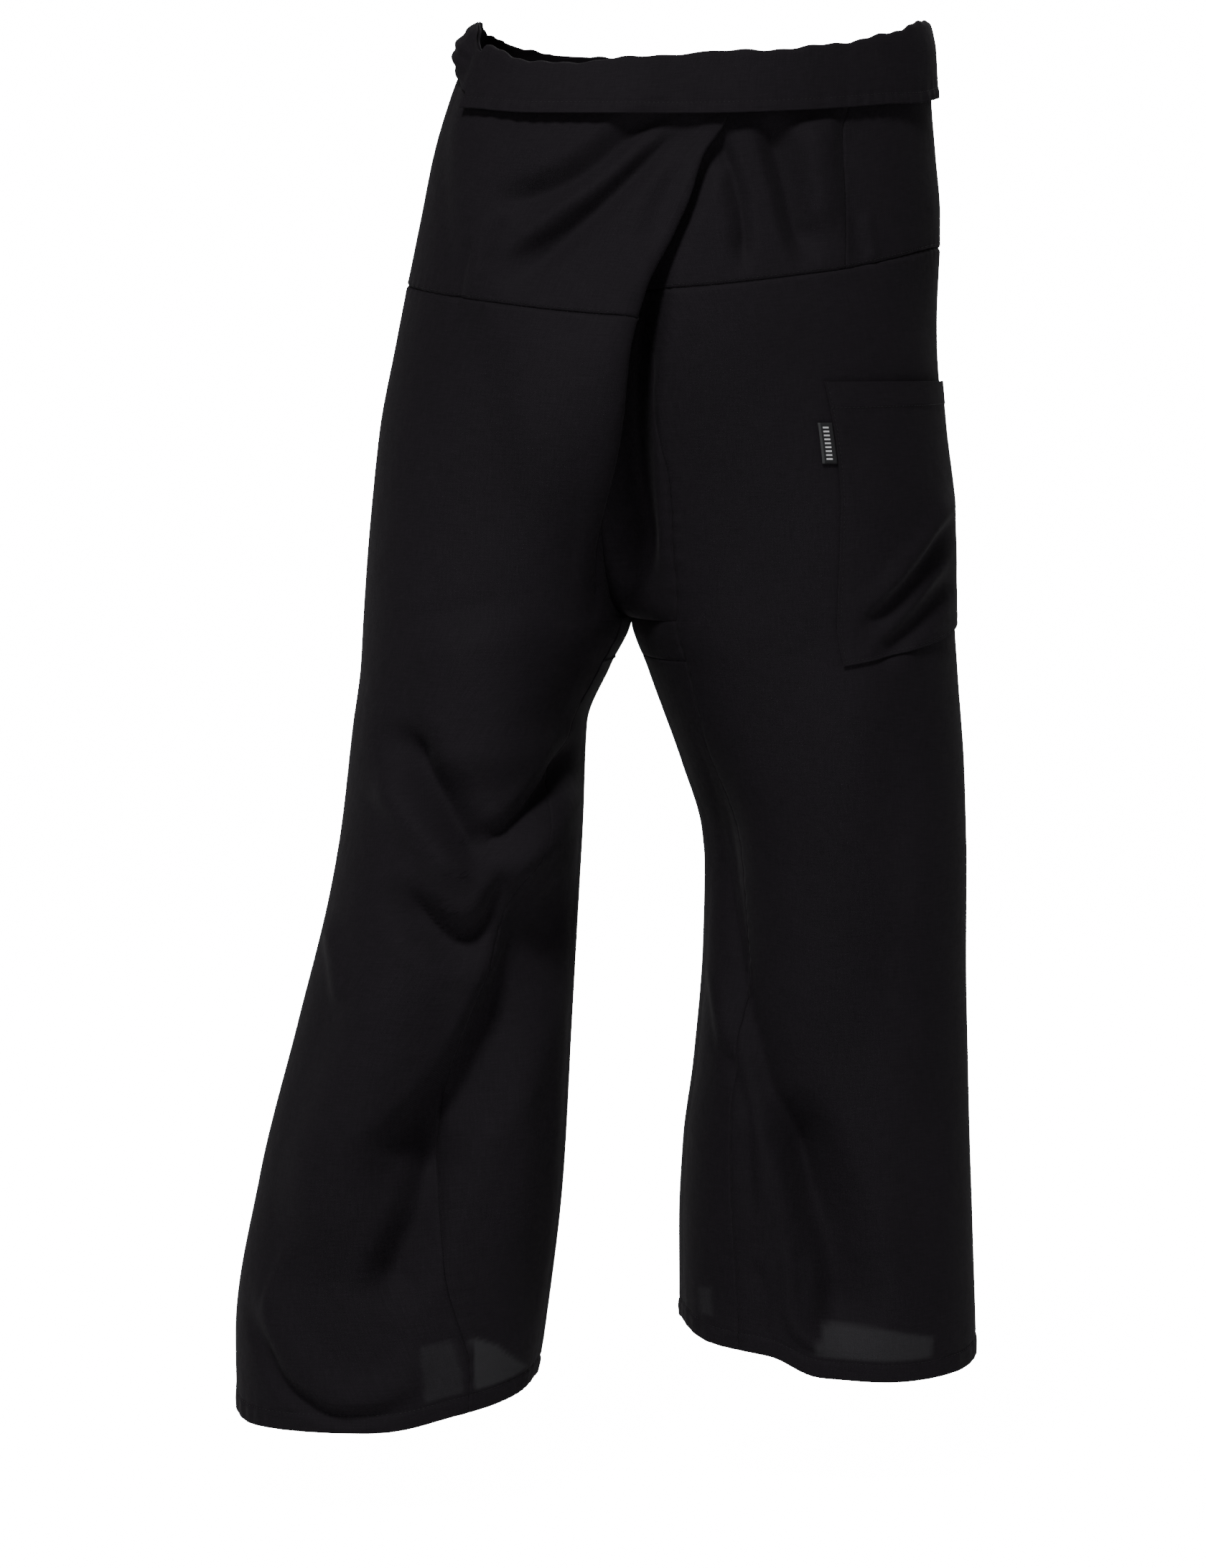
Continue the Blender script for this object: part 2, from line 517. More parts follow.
def rounded_path(path, pitch=0.004):
    """The path with a corner every few millimetres, and its turns rounded."""
    corners = np.array(path, float)
    runs = np.concatenate([[0], np.cumsum(np.linalg.norm(np.diff(corners, axis=0), axis=1))])
    at = np.linspace(0, runs[-1], max(4, int(runs[-1] / pitch)))
    points = np.stack([np.interp(at, runs, corners[:, 0]), np.interp(at, runs, corners[:, 1])], -1)
    for _ in range(12):
        points[1:-1] = (points[:-2] + 2 * points[1:-1] + points[2:]) / 4
    return points


def fold_shape(fold, x, z):
    """Height of one fold over the places x, z seen from the front."""
    path = rounded_path(fold.path)
    reach = max(fold.left, fold.right)
    low, high = path.min(0) - reach, path.max(0) + reach
    near = (x > low[0]) & (x < high[0]) & (z > low[1]) & (z < high[1])
    result = np.zeros(x.shape)
    if not near.any():
        return result
    here = np.stack([x[near], z[near]], -1)
    legs = np.diff(path, axis=0)
    lengths = np.linalg.norm(legs, axis=1)
    runs = np.concatenate([[0], np.cumsum(lengths)])
    best = np.full(len(here), 9.0)
    side = np.zeros(len(here))
    place = np.zeros(len(here))
    for start, leg, length, run in zip(path, legs, lengths, runs):
        away = here - start
        share = np.clip(away @ leg / length**2, 0, 1)
        gap = np.linalg.norm(away - share[:, None] * leg, axis=1)
        closer = gap < best
        best = np.where(closer, gap, best)
        side = np.where(closer, leg[0] * away[:, 1] - leg[1] * away[:, 0], side)
        place = np.where(closer, (run + share * length) / runs[-1], place)
    t = np.clip(best / np.where(side > 0, fold.left, fold.right), 0, 1)
    soft = (1 - t**2) ** 2
    keen = (1 - t) ** 2 * (1 - 0.15 * np.exp(-((t / 0.05) ** 2)))
    ends = eased(place * 4) * eased((1 - place) * 4)
    result[near] = fold.height * ends * between(soft, keen, fold.sharp)
    return result


def folds_at(points, outward, side=""):
    """How far the folds move the cloth of this half outwards."""
    x, z = points[..., 0], points[..., 2]
    facing = eased(-outward[..., 1] / 0.45)
    moved = np.zeros(x.shape)
    for fold in FOLDS:
        if fold.half in ("", side):
            moved += fold_shape(fold, x, z)
    return moved * facing


# Making sheets of it

def stations(side, low, high, count, edge=0.0006):
    """u values from low to high in each row, closer together at bends and at the sheet's edges."""
    bends = [(0.0, INNER_BEND, 0.04)]
    if side == "right":
        bends.append((HAIRPIN_START, HAIRPIN_END, 0.06))

    def weighed(u):
        return u + sum(more * np.clip((u - a) / (b - a), 0, 1) for a, b, more in bends)

    samples = np.linspace(0, 1, 4001)
    heavy = weighed(samples)
    shares = np.linspace(0, 1, count - 2)
    shares = np.concatenate([[0, 0], shares[1:-1], [1, 1]])
    low, high = np.atleast_1d(low)[:, None], np.atleast_1d(high)[:, None]
    targets = weighed(low) + (weighed(high) - weighed(low)) * shares
    found = np.interp(targets, heavy, samples)
    found[:, 1] += edge / CLOTH_PER_HALF
    found[:, -2] -= edge / CLOTH_PER_HALF
    return found


def edged(low, high, count, edge=0.002):
    """Even steps from low to high, with one more close to each end."""
    even = np.linspace(low, high, count - 2)
    return np.concatenate([[low, low + edge], even[1:-1], [high - edge, high]])


def half(side, levels, start, end, count, lift=0.0):
    """A grid of points over one half, and the u and level at each."""
    levels = np.asarray(levels)[:, None]
    u = stations(side, start(levels[:, 0]), end(levels[:, 0]), count)
    levels = np.broadcast_to(levels, u.shape)
    return cloth(side, u, levels, lift), u, levels


def fixed(u):
    return lambda level: np.full(np.shape(level), u)


def tucked(points, edges):
    """The points with the named edges drawn in towards the inside of the cloth, as at a seam."""
    points = points.copy()
    rows = {"top": 0, "bottom": -1}
    columns = {"start": 0, "end": -1}
    for edge in edges:
        pick = (rows[edge], slice(None)) if edge in rows else (slice(None), columns[edge])
        line = points[pick]
        across = np.gradient(points, axis=1)[pick]
        down = np.gradient(points, axis=0)[pick]
        normal = np.cross(across, down)
        normal /= np.linalg.norm(normal, axis=-1, keepdims=True) + 1e-12
        outward = np.sign(np.sum(normal * rough_outward(line), -1, keepdims=True))
        points[pick] = line - normal * outward * SEAM_TUCK
    return points


def rough_outward(line):
    """Roughly the way outwards at these points."""
    x, y, z = line[..., 0], line[..., 1], line[..., 2]
    on_leg = z < LEGS_APART_Z
    right_leg = on_leg & (x < CROTCH[0])
    left_leg = on_leg & (x >= CROTCH[0])
    centre_x = np.where(right_leg, RIGHT_LEG_MIDDLE[0], np.where(left_leg, LEFT_LEG_MIDDLE[0], 0.0))
    centre_y = np.where(right_leg, RIGHT_LEG_MIDDLE[1], LEFT_LEG_MIDDLE[1])
    return np.stack([x - centre_x, y - centre_y, np.zeros_like(x)], -1)


def sheer_at(side, u, level, points):
    """Where light comes through the single cloth above the hem, at the front."""
    x, y, z = points[..., 0], points[..., 1], points[..., 2]
    above_hem = z - HEM_LINE[side](u)
    seen = np.zeros(x.shape)
    for strength, patch in SHEER_PATCHES[side]:
        inside = np.full(x.shape, 9.0)
        for (x0, z0), (x1, z1) in zip(patch, patch[1:] + patch[:1]):
            length = math.hypot(x1 - x0, z1 - z0)
            inside = np.minimum(inside, ((x - x0) * (z1 - z0) - (z - z0) * (x1 - x0)) / length)
        seen = np.maximum(seen, strength * eased(inside / SHEER_EDGE + 0.5))
    from_seam = np.abs(u - FRONT_SEAM_LINE[side](level)) * CLOTH_PER_HALF
    single = eased((above_hem - LEG_HEM) / SHEER_EDGE)
    single *= eased((from_seam - SEAM_ALLOWANCE_SEEN) / SHEER_EDGE)
    return seen * single * (y < 0)


def measured(points):
    """Distances along the cloth for its own pattern, in metres, by row and by column."""
    across = np.linalg.norm(np.diff(points, axis=1), axis=-1).mean(0)
    down = np.linalg.norm(np.diff(points, axis=0), axis=-1).mean(1)
    across = np.concatenate([[0], np.cumsum(across)])
    down = np.concatenate([[0], np.cumsum(down)])
    return np.stack(np.broadcast_arrays(across[None, :], down[:, None]), -1)


def grid_mesh(name, points, sheer=None):
    """A grid of faces with its corners at these rows of points."""
    rows, columns = points.shape[:2]
    bm = bmesh.new()
    bmesh.ops.create_grid(bm, x_segments=columns - 1, y_segments=rows - 1, size=0.5)
    mesh = bpy.data.meshes.new(name)
    bm.to_mesh(mesh)
    bm.free()
    flat = np.empty(len(mesh.vertices) * 3)
    mesh.vertices.foreach_get("co", flat)
    flat = flat.reshape(-1, 3)
    column = np.rint((flat[:, 0] + 0.5) * (columns - 1)).astype(int)
    row = np.rint((flat[:, 1] + 0.5) * (rows - 1)).astype(int)
    mesh.vertices.foreach_set("co", points[row, column].astype(float).ravel())
    corners = np.empty(len(mesh.loops), int)
    mesh.loops.foreach_get("vertex_index", corners)
    cut = measured(points)[row, column][corners]
    layer = mesh.uv_layers.new(name="cut")
    layer.data.foreach_set("uv", cut.ravel())
    sheer = np.zeros(points.shape[:2]) if sheer is None else sheer
    attribute = mesh.attributes.new("sheer", "FLOAT", "POINT")
    attribute.data.foreach_set("value", sheer[row, column])
    return mesh


def joined(meshes):
    """One bmesh of several grids, with the corners they share merged."""
    bm = bmesh.new()
    for mesh in meshes:
        bm.from_mesh(mesh)
        bpy.data.meshes.remove(mesh)
    bmesh.ops.remove_doubles(bm, verts=bm.verts, dist=MERGE_WITHIN)
    bmesh.ops.recalc_face_normals(bm, faces=bm.faces)
    return bm


def finish_sheet(name, bm, material, node):
    """One sewn piece in the scene, in place of the solid of that node."""
    mesh = bpy.data.meshes.new(name)
    bm.to_mesh(mesh)
    bm.free()
    mesh.shade_smooth()
    piece = bpy.data.objects.new(name, mesh)
    bpy.context.scene.collection.objects.link(piece)
    mesh.materials.append(material)
    thick = piece.modifiers.new("wall", "SOLIDIFY")
    thick.thickness = WALL
    thick.offset = 0
    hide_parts(node)
    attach(piece, "root")
    return piece


# Cloth and thread

CREASE_DEPTH = 0.0011
THREAD_DEPTH = 0.00012
SHEER_TONE = (0.034, 0.033, 0.036, 1)
BAR_PITCH, BAR_SHARE = 0.0027, 0.25
BARS_ACROSS = (0.0030, 0.0072)
BARS_DOWN = (0.0016, LABEL_LENGTH - 0.0022)
SELVEDGE = 0.0016
SELVEDGE_TONE = (0.055, 0.056, 0.058, 1)
BAR_TONE = (0.62, 0.62, 0.64, 1)


def group_input(group, name, kind, value=None):
    """An input socket of a node group."""
    socket = group.interface.new_socket(name=name, in_out="INPUT", socket_type=kind)
    if value is not None:
        socket.default_value = value
    return socket


def new_node(tree, kind, **settings):
    node = tree.nodes.new(kind)
    for name, value in settings.items():
        setattr(node, name, value)
    return node


def maths(tree, operation, first, second=None):
    """One Math node on sockets or plain numbers."""
    node = new_node(tree, "ShaderNodeMath", operation=operation)
    for n, value in enumerate((first, second)):
        if value is None:
            continue
        if isinstance(value, (int, float)):
            node.inputs[n].default_value = value
        else:
            tree.links.new(value, node.inputs[n])
    return node.outputs[0]


def make_weave_group():
    """Plain weave: threads over and under each other, with slubs, on the cloth's own cut."""
    group = bpy.data.node_groups.new("plain_weave", "ShaderNodeTree")
    group_input(group, "Cut", "NodeSocketVector")
    group_input(group, "Threads per metre", "NodeSocketFloat", 1500.0)
    group_input(group, "Slubs", "NodeSocketFloat", 0.5)
    for name in ("Height", "Tone"):
        group.interface.new_socket(name=name, in_out="OUTPUT", socket_type="NodeSocketFloat")
    start = new_node(group, "NodeGroupInput")
    end = new_node(group, "NodeGroupOutput")
    split = new_node(group, "ShaderNodeSeparateXYZ")
    group.links.new(start.outputs["Cut"], split.inputs[0])
    turns = maths(group, "MULTIPLY", start.outputs["Threads per metre"], math.pi)
    warp = maths(group, "SINE", maths(group, "MULTIPLY", split.outputs["X"], turns))
    weft = maths(group, "SINE", maths(group, "MULTIPLY", split.outputs["Y"], turns))
    woven = maths(group, "MULTIPLY", warp, weft)
    slub = []
    for scale in ((70.0, 1200.0, 1.0), (1200.0, 70.0, 1.0)):
        stretch = new_node(group, "ShaderNodeMapping")
        stretch.inputs["Scale"].default_value = scale
        group.links.new(start.outputs["Cut"], stretch.inputs["Vector"])
        uneven = new_node(group, "ShaderNodeTexNoise")
        uneven.inputs["Scale"].default_value = 1.0
        uneven.inputs["Detail"].default_value = 2.0
        group.links.new(stretch.outputs["Vector"], uneven.inputs["Vector"])
        slub.append(uneven.outputs["Fac"])
    uneven = maths(group, "MULTIPLY", maths(group, "ADD", *slub), start.outputs["Slubs"])
    height = maths(group, "ADD", maths(group, "MULTIPLY", woven, 0.35), uneven)
    group.links.new(height, end.inputs["Height"])
    tone = maths(group, "ADD", maths(group, "MULTIPLY", uneven, 0.7), 0.5)
    group.links.new(tone, end.inputs["Tone"])
    return group


def make_crease_group():
    """Small soft creases of worn cloth, and patches a little paler where it has been washed."""
    group = bpy.data.node_groups.new("worn_cloth", "ShaderNodeTree")
    group_input(group, "Place", "NodeSocketVector")
    for name in ("Creases", "Patches"):
        group.interface.new_socket(name=name, in_out="OUTPUT", socket_type="NodeSocketFloat")
    start = new_node(group, "NodeGroupInput")
    end = new_node(group, "NodeGroupOutput")
    for name, scale, detail in (("Creases", 45.0, 5.0), ("Patches", 9.0, 3.0)):
        uneven = new_node(group, "ShaderNodeTexNoise")
        uneven.inputs["Scale"].default_value = scale
        uneven.inputs["Detail"].default_value = detail
        group.links.new(start.outputs["Place"], uneven.inputs["Vector"])
        group.links.new(uneven.outputs["Fac"], end.inputs[name])
    return group


def make_thread(name, colour):
    """Twisted sewing thread."""
    material = bpy.data.materials.new(name)
    material.use_nodes = True
    tree = material.node_tree
    shader = tree.nodes["Principled BSDF"]
    shader.inputs["Roughness"].default_value = 0.5
    shader.inputs["Specular IOR Level"].default_value = 0.3
    place = new_node(tree, "ShaderNodeTexCoord")
    uneven = new_node(tree, "ShaderNodeTexNoise")
    uneven.inputs["Scale"].default_value = 1800.0
    tree.links.new(place.outputs["Object"], uneven.inputs["Vector"])
    shade = new_node(tree, "ShaderNodeValToRGB")
    shade.color_ramp.elements[0].color = (*[part * 0.6 for part in colour], 1)
    shade.color_ramp.elements[1].color = (*[part * 2.4 for part in colour], 1)
    tree.links.new(uneven.outputs["Fac"], shade.inputs["Fac"])
    tree.links.new(shade.outputs["Color"], shader.inputs["Base Color"])
    return material


def add_tab_marks(material):
    """A pale selvedge and a row of plain pale bars woven into the tab."""
    tree = material.node_tree
    shader = tree.nodes["Principled BSDF"]
    cloth_colour = shader.inputs["Base Color"].links[0].from_socket
    cut = new_node(tree, "ShaderNodeUVMap", uv_map="cut")
    split = new_node(tree, "ShaderNodeSeparateXYZ")
    tree.links.new(cut.outputs["UV"], split.inputs[0])
    across, down = split.outputs["X"], split.outputs["Y"]
    wave = maths(tree, "SINE", maths(tree, "MULTIPLY", down, 2 * math.pi / BAR_PITCH))
    bars = maths(tree, "GREATER_THAN", wave, BAR_SHARE)
    for (low, high), value in ((BARS_ACROSS, across), (BARS_DOWN, down)):
        bars = maths(tree, "MULTIPLY", bars, maths(tree, "GREATER_THAN", value, low))
        bars = maths(tree, "MULTIPLY", bars, maths(tree, "LESS_THAN", value, high))
    selvedge = maths(tree, "LESS_THAN", across, SELVEDGE)
    for mask, colour in ((selvedge, SELVEDGE_TONE), (bars, BAR_TONE)):
        mix = new_node(tree, "ShaderNodeMix", data_type="RGBA")
        mix.inputs["B"].default_value = colour
        tree.links.new(mask, mix.inputs["Factor"])
        tree.links.new(cloth_colour, mix.inputs["A"])
        cloth_colour = mix.outputs["Result"]
    tree.links.new(cloth_colour, shader.inputs["Base Color"])


WEAVE = make_weave_group()
CREASES = make_crease_group()


def make_cloth(name, dark, light, roughness, sheen, threads):
    """Plain-weave cloth, paler where the sheer attribute says that light comes through."""
    material = bpy.data.materials.new(name)
    material.use_nodes = True
    tree = material.node_tree
    shader = tree.nodes["Principled BSDF"]
    shader.inputs["Roughness"].default_value = roughness
    shader.inputs["Sheen Weight"].default_value = sheen
    shader.inputs["Sheen Roughness"].default_value = 0.45
    shader.inputs["Sheen Tint"].default_value = (0.93, 0.90, 0.95, 1)
    shader.inputs["Specular IOR Level"].default_value = 0.10
    cut = new_node(tree, "ShaderNodeUVMap", uv_map="cut")
    place = new_node(tree, "ShaderNodeTexCoord")
    weave = new_node(tree, "ShaderNodeGroup", node_tree=WEAVE)
    weave.inputs["Threads per metre"].default_value = threads
    worn = new_node(tree, "ShaderNodeGroup", node_tree=CREASES)
    tree.links.new(cut.outputs["UV"], weave.inputs["Cut"])
    tree.links.new(place.outputs["Object"], worn.inputs["Place"])
    washed = maths(tree, "MULTIPLY", worn.outputs["Patches"], 0.16)
    tone = maths(tree, "ADD", maths(tree, "MULTIPLY", weave.outputs["Tone"], 0.5), washed)
    shade = new_node(tree, "ShaderNodeValToRGB")
    shade.color_ramp.elements[0].position = 0.25
    shade.color_ramp.elements[0].color = (*dark, 1)
    shade.color_ramp.elements[1].position = 0.75
    shade.color_ramp.elements[1].color = (*light, 1)
    tree.links.new(tone, shade.inputs["Fac"])
    sheer = new_node(tree, "ShaderNodeAttribute", attribute_name="sheer")
    lit = new_node(tree, "ShaderNodeMix", data_type="RGBA")
    lit.inputs["B"].default_value = SHEER_TONE
    patchy = maths(tree, "MULTIPLY", sheer.outputs["Fac"], maths(tree, "ADD", weave.outputs["Tone"], 0.1))
    tree.links.new(patchy, lit.inputs["Factor"])
    tree.links.new(shade.outputs["Color"], lit.inputs["A"])
    tree.links.new(lit.outputs["Result"], shader.inputs["Base Color"])
    crease = new_node(tree, "ShaderNodeBump")
    crease.inputs["Distance"].default_value = CREASE_DEPTH
    crease.inputs["Strength"].default_value = 1.0
    tree.links.new(worn.outputs["Creases"], crease.inputs["Height"])
    threads_bump = new_node(tree, "ShaderNodeBump")
    threads_bump.inputs["Distance"].default_value = THREAD_DEPTH
    threads_bump.inputs["Strength"].default_value = 1.0
    tree.links.new(weave.outputs["Height"], threads_bump.inputs["Height"])
    tree.links.new(crease.outputs["Normal"], threads_bump.inputs["Normal"])
    tree.links.new(threads_bump.outputs["Normal"], shader.inputs["Normal"])
    return material


black_cloth = make_cloth(
    "black_cloth", dark=(0.0034, 0.0028, 0.0037), light=(0.0205, 0.0172, 0.0216),
    roughness=0.80, sheen=0.02, threads=1500,
)
label_tape = make_cloth(
    "label_tape", dark=(0.016, 0.016, 0.017), light=(0.028, 0.028, 0.030),
    roughness=0.6, sheen=0.03, threads=2500,
)
add_tab_marks(label_tape)
black_thread = make_thread("black_thread", (0.0065, 0.0060, 0.0070))


# Panels

def make_outer_leg(side):
    turns = np.concatenate([np.linspace(0, 3, 7)[:-1], np.linspace(3, 84, 66)])
    levels = np.concatenate([
        1 + np.sin(np.radians(turns)),
        edged(2.0, FINE_ROWS, 176, 0.0012)[:-1],
        np.linspace(FINE_ROWS, 3.0, 20),
    ])
    start, end = FRONT_SEAM_LINE[side], BACK_SEAM_LINE[side]
    points, u, level = half(side, levels, start, end, 130)
    points = tucked(points, ["start", "end", "top"])
    bm = joined([grid_mesh("outer_leg", points, sheer_at(side, u, level, points))])
    name = f"outer_leg_cloth_{side}"
    return finish_sheet(name, bm, black_cloth, f"outer_leg_{side}")


def make_inner_leg(side):
    levels = np.concatenate([
        edged(CROSS_SEAM, FINE_ROWS, 166, 0.0012)[:-1],
        np.linspace(FINE_ROWS, 3.0, 20),
    ])
    parts = []
    for start, end, count, edge in (
        (fixed(0), FRONT_SEAM_LINE[side], 40, "end"),
        (BACK_SEAM_LINE[side], fixed(1), 20, "start"),
    ):
        points, u, level = half(side, levels, start, end, count)
        points = tucked(points, [edge, "top"])
        parts.append(grid_mesh("inner_leg", points, sheer_at(side, u, level, points)))
    bm = joined(parts)
    name = f"inner_leg_cloth_{side}"
    return finish_sheet(name, bm, black_cloth, f"inner_leg_{side}")


def make_crotch_panel():
    parts = []
    down = 1 + np.sin(np.radians(np.linspace(0, 90, 80)))
    under = edged(2.0, CROSS_SEAM, 16, 0.0012)
    for side in ("right", "left"):
        for levels, edge in ((down, "top"), (under, "bottom")):
            for start, end, seam in (
                (fixed(0), FRONT_SEAM_LINE[side], "end"),
                (BACK_SEAM_LINE[side], fixed(1), "start"),
            ):
                points, _, _ = half(side, levels, start, end, 30)
                parts.append(grid_mesh("crotch", tucked(points, [edge, seam])))
    bm = joined(parts)
    return finish_sheet("crotch_panel_cloth", bm, black_cloth, "crotch_panel")


def under_ties(angle):
    return outermost(np.minimum(angle, 7.0), -0.02) * (1 - eased((angle - 7) / 22))


def ties_over(angle):
    low, high = TIES_CROSS
    return 1 + eased((angle - low + 15) / 15) * eased((high + 15 - angle) / 15)


def turned_point(u, turn, down):
    """The turned-down top: turn 0 is inside its top edge and 180 outside, and down 1 is its hem."""
    angle, _ = wrapped("left", u, 0.0 * u)
    foot = cut_edge_z("left", angle)
    angle, at_foot = wrapped("left", u, foot)
    over = under_ties(angle) + LAYER * (1 + ties_over(angle))
    z = foot + ARCH_HEIGHT * math.sin(math.radians(turn))
    z = between(z, TURNED_HEM_LINE(angle), down)
    lift = over * (1 - math.cos(math.radians(turn))) / 2 + 0.0015 * down
    lift = lift + at_foot * (1 + math.cos(math.radians(turn))) / 2
    above = z - TURNED_HEM_LINE(angle)
    lift = lift + step(above - TURNED_HEM, HEM_STEP, HEM_STEP_WIDTH)
    lift = lift + groove(above - TURNED_HEM, HEM_GROOVE, 0.0012)
    lift = lift + pucker(u * CLOTH_PER_HALF, above - TURNED_HEM / 2, 0.013, 0.0007)
    points, outward = trunk_point(angle, lift, z)
    return points + outward * (folds_at(points, outward) * (1 - 0.4 * down))[..., None]


def turned_rows(columns):
    rows = [turned_point(columns, 180, share) for share in edged(1.0, 0.03, 30, -0.02)]
    rows += [turned_point(columns, turn, 0) for turn in np.linspace(180, 0, 15)]
    return np.stack(rows)


def make_yoke():
    levels = np.concatenate([edged(0, 0.94, 50, 0.004)[:-1], np.linspace(0.94, 1, 9)])
    closing = CLOSING_LINE
    parts = []
    front, _, _ = half("left", levels, fixed(0), closing, 150)
    wrap, _, _ = half("right", levels, fixed(0), fixed(1), 300)
    back, _, _ = half("left", levels, closing, fixed(1), 110)
    parts.append(grid_mesh("yoke", tucked(front[:, ::-1], ["start", "bottom"])))
    parts.append(grid_mesh("yoke", tucked(wrap, ["bottom"])))
    parts.append(grid_mesh("yoke", tucked(back[:, ::-1], ["end", "bottom"])))
    seam = float(closing(0))
    columns = stations("left", 0, seam, 150)[0][::-1]
    parts.append(grid_mesh("yoke", turned_rows(columns)))
    columns = np.array([u for u in stations("left", seam, 1, 110)[0] if u < TURNED_END])[::-1]
    parts.append(grid_mesh("yoke", turned_rows(columns)))
    bm = joined(parts)
    return finish_sheet("yoke_cloth", bm, black_cloth, "yoke")


def make_tie(side):
    low, high = TIES_CROSS
    start, end = (BACK_ANGLE - 359.85, high) if side == "right" else (BACK_ANGLE - 0.15, low)
    angle = np.linspace(start, end, 300)[None, :]
    share = edged(-1, 1, 22, 0.03)[:, None]
    layers = ties_over(angle) if side == "left" else 1
    covered = eased((angle + 78) / 14)
    half_width = TIE_WIDTH / 2 * (1 - 0.18 * covered)
    z = TOP_LINE(angle) - half_width - 0.0055 * covered - share * half_width
    bunched = 0.009 * eased((-68 - angle) / 10) * (1 - share * share)
    gathers = 0.0011 * (1 - covered) * np.sin(share * 11 + 2.5 * np.sin(angle * 0.09))
    angle, z = np.broadcast_arrays(angle, z)
    points, outward = trunk_point(angle, under_ties(angle) + LAYER * layers + bunched + gathers, z)
    points = points + outward * folds_at(points, outward)[..., None]
    bm = joined([grid_mesh("tie", points)])
    return finish_sheet(f"tie_cloth_{side}", bm, black_cloth, f"tie_{side}")


def on_pocket(share, along, lift=LAYER):
    """Points of the pocket, share of the way down it and along of the way across."""
    z = POCKET_TOP_Z - share * (POCKET_DEPTH - 0.033 * along)
    level = level_at("left", 0.4 + 0 * z, z)
    u = between(POCKET_FRONT_LINE(level), POCKET_BACK_LINE(level), along)
    gape = 0.0026 * np.exp(-share * 9) * np.sin(math.pi * np.clip(along, 0, 1))
    edge = np.minimum(np.minimum(along, 1 - along) * POCKET_WIDTH, (1 - share) * POCKET_DEPTH)
    turned_in = step(edge - 0.008, 0.0003, 0.002) + groove(edge - 0.0022, 0.0004, 0.0012)
    mouth_hem = step(share * POCKET_DEPTH - POCKET_HEM, 0.0004, 0.002)
    return cloth("left", u, level_at("left", u, z), lift + gape + turned_in + mouth_hem)


def make_pocket():
    share, along = np.meshgrid(edged(0, 1, 90, 0.003), edged(0, 1, 80, 0.003), indexing="ij")
    bm = joined([grid_mesh("pocket", on_pocket(share, along))])
    return finish_sheet("pocket_cloth", bm, black_cloth, "pocket")


def make_label():
    down, away = np.meshgrid(
        np.linspace(0, LABEL_LENGTH, 24), np.linspace(LABEL_WIDTH, 0, 12), indexing="ij"
    )
    z = LABEL_TOP_Z - down
    level = level_at("left", 0.3 + 0 * z, z)
    u = POCKET_FRONT_LINE(level) - (away + 0.0009) / CLOTH_PER_HALF
    bm = joined([grid_mesh("label", cloth("left", u, level_at("left", u, z), LAYER))])
    return finish_sheet("label_tab", bm, label_tape, "label")


def evened(path, pitch):
    """Places a pitch apart along a path, and the way the path runs there."""
    runs = np.concatenate([[0], np.cumsum(np.linalg.norm(np.diff(path, axis=0), axis=1))])
    at = np.arange(pitch / 2, runs[-1], pitch)
    places = np.stack([np.interp(at, runs, path[:, i]) for i in range(3)], -1)
    ahead = np.stack([np.interp(at + pitch / 4, runs, path[:, i]) for i in range(3)], -1) - places
    return places, ahead / (np.linalg.norm(ahead, axis=1, keepdims=True) + 1e-12)


def sew(name, paths):
    """A row of stitches along each path, joined in one mesh."""
    whole = bmesh.new()
    for path in paths:
        places, ahead = evened(path, STITCH_PITCH)
        row = bmesh.new()
        for place, way in zip(places, ahead):
            turn = Vector(way).to_track_quat("X", "Z").to_matrix().to_4x4()
            size = Matrix.Diagonal((STITCH_LENGTH / 2, THREAD / 2, THREAD / 2, 1))
            matrix = Matrix.Translation(Vector(place)) @ turn @ size
            bmesh.ops.create_uvsphere(row, u_segments=6, v_segments=4, radius=1, matrix=matrix)
        mesh = bpy.data.meshes.new(name)
        row.to_mesh(mesh)
        row.free()
        whole.from_mesh(mesh)
        bpy.data.meshes.remove(mesh)
    mesh = bpy.data.meshes.new(name)
    whole.to_mesh(mesh)
    whole.free()
    mesh.shade_smooth()
    mesh.materials.append(black_thread)
    piece = bpy.data.objects.new(name, mesh)
    bpy.context.scene.collection.objects.link(piece)
    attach(piece, "root")
    return piece


